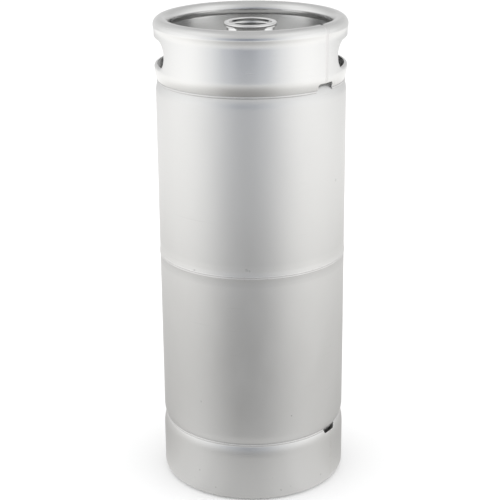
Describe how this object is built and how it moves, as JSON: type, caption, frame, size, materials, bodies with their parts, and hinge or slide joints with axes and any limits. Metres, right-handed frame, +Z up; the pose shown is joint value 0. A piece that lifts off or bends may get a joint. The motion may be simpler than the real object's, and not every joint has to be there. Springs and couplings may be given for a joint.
{
  "type": "beer keg",
  "caption": "Slim stainless steel beer keg with rolled rim and foot collars, hand holes, a bayonet neck and a spring-loaded extractor with a long spear.",
  "frame": {"origin": "centre of the foot ring, on the floor", "axes": "+Z up along the keg's axis, hand holes towards +X and -X, front towards -Y"},
  "size_m": [0.235, 0.235, 0.592],
  "materials": {
    "vessel_steel": "satin, fine matt finish",
    "collar_steel": "satin, fine matt finish",
    "weld_metal": "as welded and brushed",
    "neck_steel": "turned and polished",
    "valve_steel": "pressed, semi-bright",
    "spring_steel": "drawn wire",
    "ball_steel": "polished ball",
    "seal_rubber": "moulded",
    "gasket_rubber": "moulded"
  },
  "bodies": {
    "keg": {"top_rim": "collar_steel", "top_chime": "collar_steel", "top_chime_seam": "weld_metal", "top_chime_weld": "weld_metal", "upper_shell": "vessel_steel", "girth_weld": "weld_metal", "lower_shell": "vessel_steel", "bottom_chime_weld": "weld_metal", "bottom_chime": "collar_steel", "foot_rim": "collar_steel", "bottom_chime_seam": "weld_metal", "neck": "neck_steel", "neck_weld": "weld_metal", "valve_housing": "valve_steel", "neck_gasket": "gasket_rubber", "retaining_ring": "spring_steel", "spring_seat": "valve_steel", "gas_spring": "spring_steel"},
    "spear": {"gas_seal": "seal_rubber", "seal_core": "valve_steel", "spear_cup": "valve_steel", "spear_tube": "valve_steel", "ball_spring": "spring_steel"},
    "ball": {"beer_ball": "ball_steel"}
  },
  "joints": [
    {"name": "gas_valve", "type": "slide", "parent": "keg", "child": "spear", "axis": [0, 0, -1], "range_m": [0, 0.006], "stiffness_N_per_m": 3000, "springref_m": -0.02, "deforming": ["gas_spring"]},
    {"name": "beer_valve", "type": "slide", "parent": "spear", "child": "ball", "axis": [0, 0, -1], "range_m": [0, 0.005], "stiffness_N_per_m": 300, "springref_m": -0.01, "deforming": ["ball_spring"]}
  ]
}
